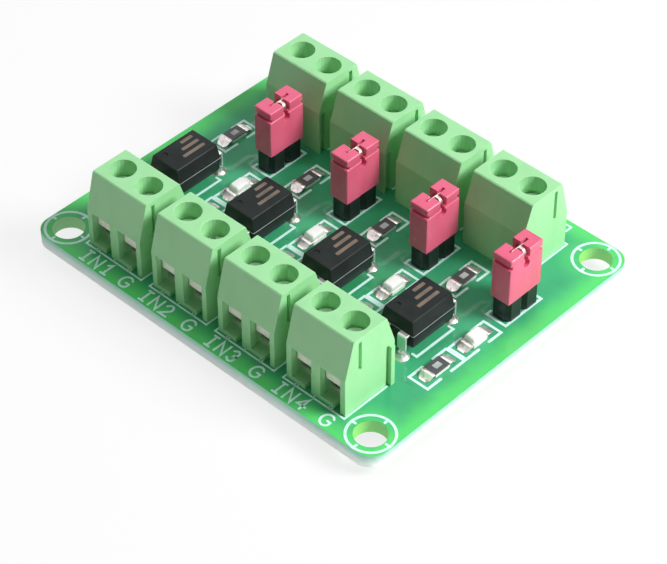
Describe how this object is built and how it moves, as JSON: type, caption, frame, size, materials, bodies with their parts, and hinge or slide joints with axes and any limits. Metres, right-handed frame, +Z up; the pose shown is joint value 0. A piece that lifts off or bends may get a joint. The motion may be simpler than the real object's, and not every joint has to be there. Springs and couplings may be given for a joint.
{
  "type": "optocoupler isolation board",
  "caption": "Green circuit board with two rows of two-pole screw terminals, black optocouplers between them, and a red jumper cap on each channel's output.",
  "frame": {"origin": "centre of the four mounting holes, on the board's underside", "axes": "+X along the row of channels from the first to the last, +Y from the input edge to the output edge, +Z up out of the component side"},
  "size_m": [0.05, 0.0408, 0.0123],
  "materials": {
    "solder_mask": "glossy green solder mask over glass-fibre board, white lines",
    "terminal_green": "light green moulded plastic, faint sheen",
    "screw_steel": "bright plated, slotted end",
    "clamp_plate": "dull plated sheet",
    "contact_metal": "tin-plated sheet",
    "opto_black": "black moulded epoxy",
    "tinned_lead": "tinned, bright",
    "header_black": "black moulded plastic",
    "header_pin": "tin-plated square pins",
    "cap_red": "coral red moulded plastic",
    "cap_clip_metal": "plated spring sheet",
    "resistor_body": "dark glazed top on white ceramic",
    "lamp_white": "milky white lens",
    "solder": "bright smooth solder"
  },
  "bodies": {
    "board_assembly": {"board": "solder_mask", "terminal_contacts": "contact_metal", "opto_leads": "tinned_lead", "header_bases": "header_black", "header_pins": "header_pin", "resistors": "resistor_body", "lamps": "lamp_white", "solder_and_chip_ends": "solder", "housing_in_1": "terminal_green", "housing_in_2": "terminal_green", "housing_in_3": "terminal_green", "housing_in_4": "terminal_green", "housing_out_1": "terminal_green", "housing_out_2": "terminal_green", "housing_out_3": "terminal_green", "housing_out_4": "terminal_green", "opto_1": "opto_black", "opto_2": "opto_black", "opto_3": "opto_black", "opto_4": "opto_black"},
    "screw_in_1a": {"screw_in_1a": "screw_steel"},
    "plate_in_1a": {"plate_in_1a": "clamp_plate"},
    "screw_in_1b": {"screw_in_1b": "screw_steel"},
    "plate_in_1b": {"plate_in_1b": "clamp_plate"},
    "screw_in_2a": {"screw_in_2a": "screw_steel"},
    "plate_in_2a": {"plate_in_2a": "clamp_plate"},
    "screw_in_2b": {"screw_in_2b": "screw_steel"},
    "plate_in_2b": {"plate_in_2b": "clamp_plate"},
    "screw_in_3a": {"screw_in_3a": "screw_steel"},
    "plate_in_3a": {"plate_in_3a": "clamp_plate"},
    "screw_in_3b": {"screw_in_3b": "screw_steel"},
    "plate_in_3b": {"plate_in_3b": "clamp_plate"},
    "screw_in_4a": {"screw_in_4a": "screw_steel"},
    "plate_in_4a": {"plate_in_4a": "clamp_plate"},
    "screw_in_4b": {"screw_in_4b": "screw_steel"},
    "plate_in_4b": {"plate_in_4b": "clamp_plate"},
    "screw_out_1a": {"screw_out_1a": "screw_steel"},
    "plate_out_1a": {"plate_out_1a": "clamp_plate"},
    "screw_out_1b": {"screw_out_1b": "screw_steel"},
    "plate_out_1b": {"plate_out_1b": "clamp_plate"},
    "screw_out_2a": {"screw_out_2a": "screw_steel"},
    "plate_out_2a": {"plate_out_2a": "clamp_plate"},
    "screw_out_2b": {"screw_out_2b": "screw_steel"},
    "plate_out_2b": {"plate_out_2b": "clamp_plate"},
    "screw_out_3a": {"screw_out_3a": "screw_steel"},
    "plate_out_3a": {"plate_out_3a": "clamp_plate"},
    "screw_out_3b": {"screw_out_3b": "screw_steel"},
    "plate_out_3b": {"plate_out_3b": "clamp_plate"},
    "screw_out_4a": {"screw_out_4a": "screw_steel"},
    "plate_out_4a": {"plate_out_4a": "clamp_plate"},
    "screw_out_4b": {"screw_out_4b": "screw_steel"},
    "plate_out_4b": {"plate_out_4b": "clamp_plate"},
    "cap_1": {"cap_shell_1": "cap_red", "cap_clip_1": "cap_clip_metal"},
    "cap_2": {"cap_shell_2": "cap_red", "cap_clip_2": "cap_clip_metal"},
    "cap_3": {"cap_shell_3": "cap_red", "cap_clip_3": "cap_clip_metal"},
    "cap_4": {"cap_shell_4": "cap_red", "cap_clip_4": "cap_clip_metal"}
  },
  "joints": [
    {"name": "plate_slide_in_1a", "type": "slide", "parent": "board_assembly", "child": "plate_in_1a", "axis": [0, 0, -1], "range_m": [0, 0.002]},
    {"name": "screw_turn_in_1a", "type": "hinge", "parent": "plate_in_1a", "child": "screw_in_1a", "pos_m": [-0.0167, -0.01405, 0.0074], "axis": [0, 0, -1], "range_deg": [0, 1600]},
    {"name": "plate_slide_in_1b", "type": "slide", "parent": "board_assembly", "child": "plate_in_1b", "axis": [0, 0, -1], "range_m": [0, 0.002]},
    {"name": "screw_turn_in_1b", "type": "hinge", "parent": "plate_in_1b", "child": "screw_in_1b", "pos_m": [-0.0127, -0.01405, 0.0074], "axis": [0, 0, -1], "range_deg": [0, 1600]},
    {"name": "plate_slide_in_2a", "type": "slide", "parent": "board_assembly", "child": "plate_in_2a", "axis": [0, 0, -1], "range_m": [0, 0.002]},
    {"name": "screw_turn_in_2a", "type": "hinge", "parent": "plate_in_2a", "child": "screw_in_2a", "pos_m": [-0.0069, -0.01405, 0.0074], "axis": [0, 0, -1], "range_deg": [0, 1600]},
    {"name": "plate_slide_in_2b", "type": "slide", "parent": "board_assembly", "child": "plate_in_2b", "axis": [0, 0, -1], "range_m": [0, 0.002]},
    {"name": "screw_turn_in_2b", "type": "hinge", "parent": "plate_in_2b", "child": "screw_in_2b", "pos_m": [-0.0029, -0.01405, 0.0074], "axis": [0, 0, -1], "range_deg": [0, 1600]},
    {"name": "plate_slide_in_3a", "type": "slide", "parent": "board_assembly", "child": "plate_in_3a", "axis": [0, 0, -1], "range_m": [0, 0.002]},
    {"name": "screw_turn_in_3a", "type": "hinge", "parent": "plate_in_3a", "child": "screw_in_3a", "pos_m": [0.0029, -0.01405, 0.0074], "axis": [0, 0, -1], "range_deg": [0, 1600]},
    {"name": "plate_slide_in_3b", "type": "slide", "parent": "board_assembly", "child": "plate_in_3b", "axis": [0, 0, -1], "range_m": [0, 0.002]},
    {"name": "screw_turn_in_3b", "type": "hinge", "parent": "plate_in_3b", "child": "screw_in_3b", "pos_m": [0.0069, -0.01405, 0.0074], "axis": [0, 0, -1], "range_deg": [0, 1600]},
    {"name": "plate_slide_in_4a", "type": "slide", "parent": "board_assembly", "child": "plate_in_4a", "axis": [0, 0, -1], "range_m": [0, 0.002]},
    {"name": "screw_turn_in_4a", "type": "hinge", "parent": "plate_in_4a", "child": "screw_in_4a", "pos_m": [0.0127, -0.01405, 0.0074], "axis": [0, 0, -1], "range_deg": [0, 1600]},
    {"name": "plate_slide_in_4b", "type": "slide", "parent": "board_assembly", "child": "plate_in_4b", "axis": [0, 0, -1], "range_m": [0, 0.002]},
    {"name": "screw_turn_in_4b", "type": "hinge", "parent": "plate_in_4b", "child": "screw_in_4b", "pos_m": [0.0167, -0.01405, 0.0074], "axis": [0, 0, -1], "range_deg": [0, 1600]},
    {"name": "plate_slide_out_1a", "type": "slide", "parent": "board_assembly", "child": "plate_out_1a", "axis": [0, 0, -1], "range_m": [0, 0.002]},
    {"name": "screw_turn_out_1a", "type": "hinge", "parent": "plate_out_1a", "child": "screw_out_1a", "pos_m": [-0.01315, 0.01345, 0.0074], "axis": [0, 0, -1], "range_deg": [0, 1600]},
    {"name": "plate_slide_out_1b", "type": "slide", "parent": "board_assembly", "child": "plate_out_1b", "axis": [0, 0, -1], "range_m": [0, 0.002]},
    {"name": "screw_turn_out_1b", "type": "hinge", "parent": "plate_out_1b", "child": "screw_out_1b", "pos_m": [-0.01715, 0.01345, 0.0074], "axis": [0, 0, -1], "range_deg": [0, 1600]},
    {"name": "plate_slide_out_2a", "type": "slide", "parent": "board_assembly", "child": "plate_out_2a", "axis": [0, 0, -1], "range_m": [0, 0.002]},
    {"name": "screw_turn_out_2a", "type": "hinge", "parent": "plate_out_2a", "child": "screw_out_2a", "pos_m": [-0.00335, 0.01345, 0.0074], "axis": [0, 0, -1], "range_deg": [0, 1600]},
    {"name": "plate_slide_out_2b", "type": "slide", "parent": "board_assembly", "child": "plate_out_2b", "axis": [0, 0, -1], "range_m": [0, 0.002]},
    {"name": "screw_turn_out_2b", "type": "hinge", "parent": "plate_out_2b", "child": "screw_out_2b", "pos_m": [-0.00735, 0.01345, 0.0074], "axis": [0, 0, -1], "range_deg": [0, 1600]},
    {"name": "plate_slide_out_3a", "type": "slide", "parent": "board_assembly", "child": "plate_out_3a", "axis": [0, 0, -1], "range_m": [0, 0.002]},
    {"name": "screw_turn_out_3a", "type": "hinge", "parent": "plate_out_3a", "child": "screw_out_3a", "pos_m": [0.00645, 0.01345, 0.0074], "axis": [0, 0, -1], "range_deg": [0, 1600]},
    {"name": "plate_slide_out_3b", "type": "slide", "parent": "board_assembly", "child": "plate_out_3b", "axis": [0, 0, -1], "range_m": [0, 0.002]},
    {"name": "screw_turn_out_3b", "type": "hinge", "parent": "plate_out_3b", "child": "screw_out_3b", "pos_m": [0.00245, 0.01345, 0.0074], "axis": [0, 0, -1], "range_deg": [0, 1600]},
    {"name": "plate_slide_out_4a", "type": "slide", "parent": "board_assembly", "child": "plate_out_4a", "axis": [0, 0, -1], "range_m": [0, 0.002]},
    {"name": "screw_turn_out_4a", "type": "hinge", "parent": "plate_out_4a", "child": "screw_out_4a", "pos_m": [0.01625, 0.01345, 0.0074], "axis": [0, 0, -1], "range_deg": [0, 1600]},
    {"name": "plate_slide_out_4b", "type": "slide", "parent": "board_assembly", "child": "plate_out_4b", "axis": [0, 0, -1], "range_m": [0, 0.002]},
    {"name": "screw_turn_out_4b", "type": "hinge", "parent": "plate_out_4b", "child": "screw_out_4b", "pos_m": [0.01225, 0.01345, 0.0074], "axis": [0, 0, -1], "range_deg": [0, 1600]},
    {"name": "cap_pull_1", "type": "slide", "parent": "board_assembly", "child": "cap_1", "axis": [0, 0, 1], "range_m": [0, 0.008]},
    {"name": "cap_pull_2", "type": "slide", "parent": "board_assembly", "child": "cap_2", "axis": [0, 0, 1], "range_m": [0, 0.008]},
    {"name": "cap_pull_3", "type": "slide", "parent": "board_assembly", "child": "cap_3", "axis": [0, 0, 1], "range_m": [0, 0.008]},
    {"name": "cap_pull_4", "type": "slide", "parent": "board_assembly", "child": "cap_4", "axis": [0, 0, 1], "range_m": [0, 0.008]}
  ],
  "couplings": [
    {"joint": "screw_turn_in_1a", "follows": "plate_slide_in_1a", "rad_per_m": 13963},
    {"joint": "screw_turn_in_1b", "follows": "plate_slide_in_1b", "rad_per_m": 13963},
    {"joint": "screw_turn_in_2a", "follows": "plate_slide_in_2a", "rad_per_m": 13963},
    {"joint": "screw_turn_in_2b", "follows": "plate_slide_in_2b", "rad_per_m": 13963},
    {"joint": "screw_turn_in_3a", "follows": "plate_slide_in_3a", "rad_per_m": 13963},
    {"joint": "screw_turn_in_3b", "follows": "plate_slide_in_3b", "rad_per_m": 13963},
    {"joint": "screw_turn_in_4a", "follows": "plate_slide_in_4a", "rad_per_m": 13963},
    {"joint": "screw_turn_in_4b", "follows": "plate_slide_in_4b", "rad_per_m": 13963},
    {"joint": "screw_turn_out_1a", "follows": "plate_slide_out_1a", "rad_per_m": 13963},
    {"joint": "screw_turn_out_1b", "follows": "plate_slide_out_1b", "rad_per_m": 13963},
    {"joint": "screw_turn_out_2a", "follows": "plate_slide_out_2a", "rad_per_m": 13963},
    {"joint": "screw_turn_out_2b", "follows": "plate_slide_out_2b", "rad_per_m": 13963},
    {"joint": "screw_turn_out_3a", "follows": "plate_slide_out_3a", "rad_per_m": 13963},
    {"joint": "screw_turn_out_3b", "follows": "plate_slide_out_3b", "rad_per_m": 13963},
    {"joint": "screw_turn_out_4a", "follows": "plate_slide_out_4a", "rad_per_m": 13963},
    {"joint": "screw_turn_out_4b", "follows": "plate_slide_out_4b", "rad_per_m": 13963}
  ]
}
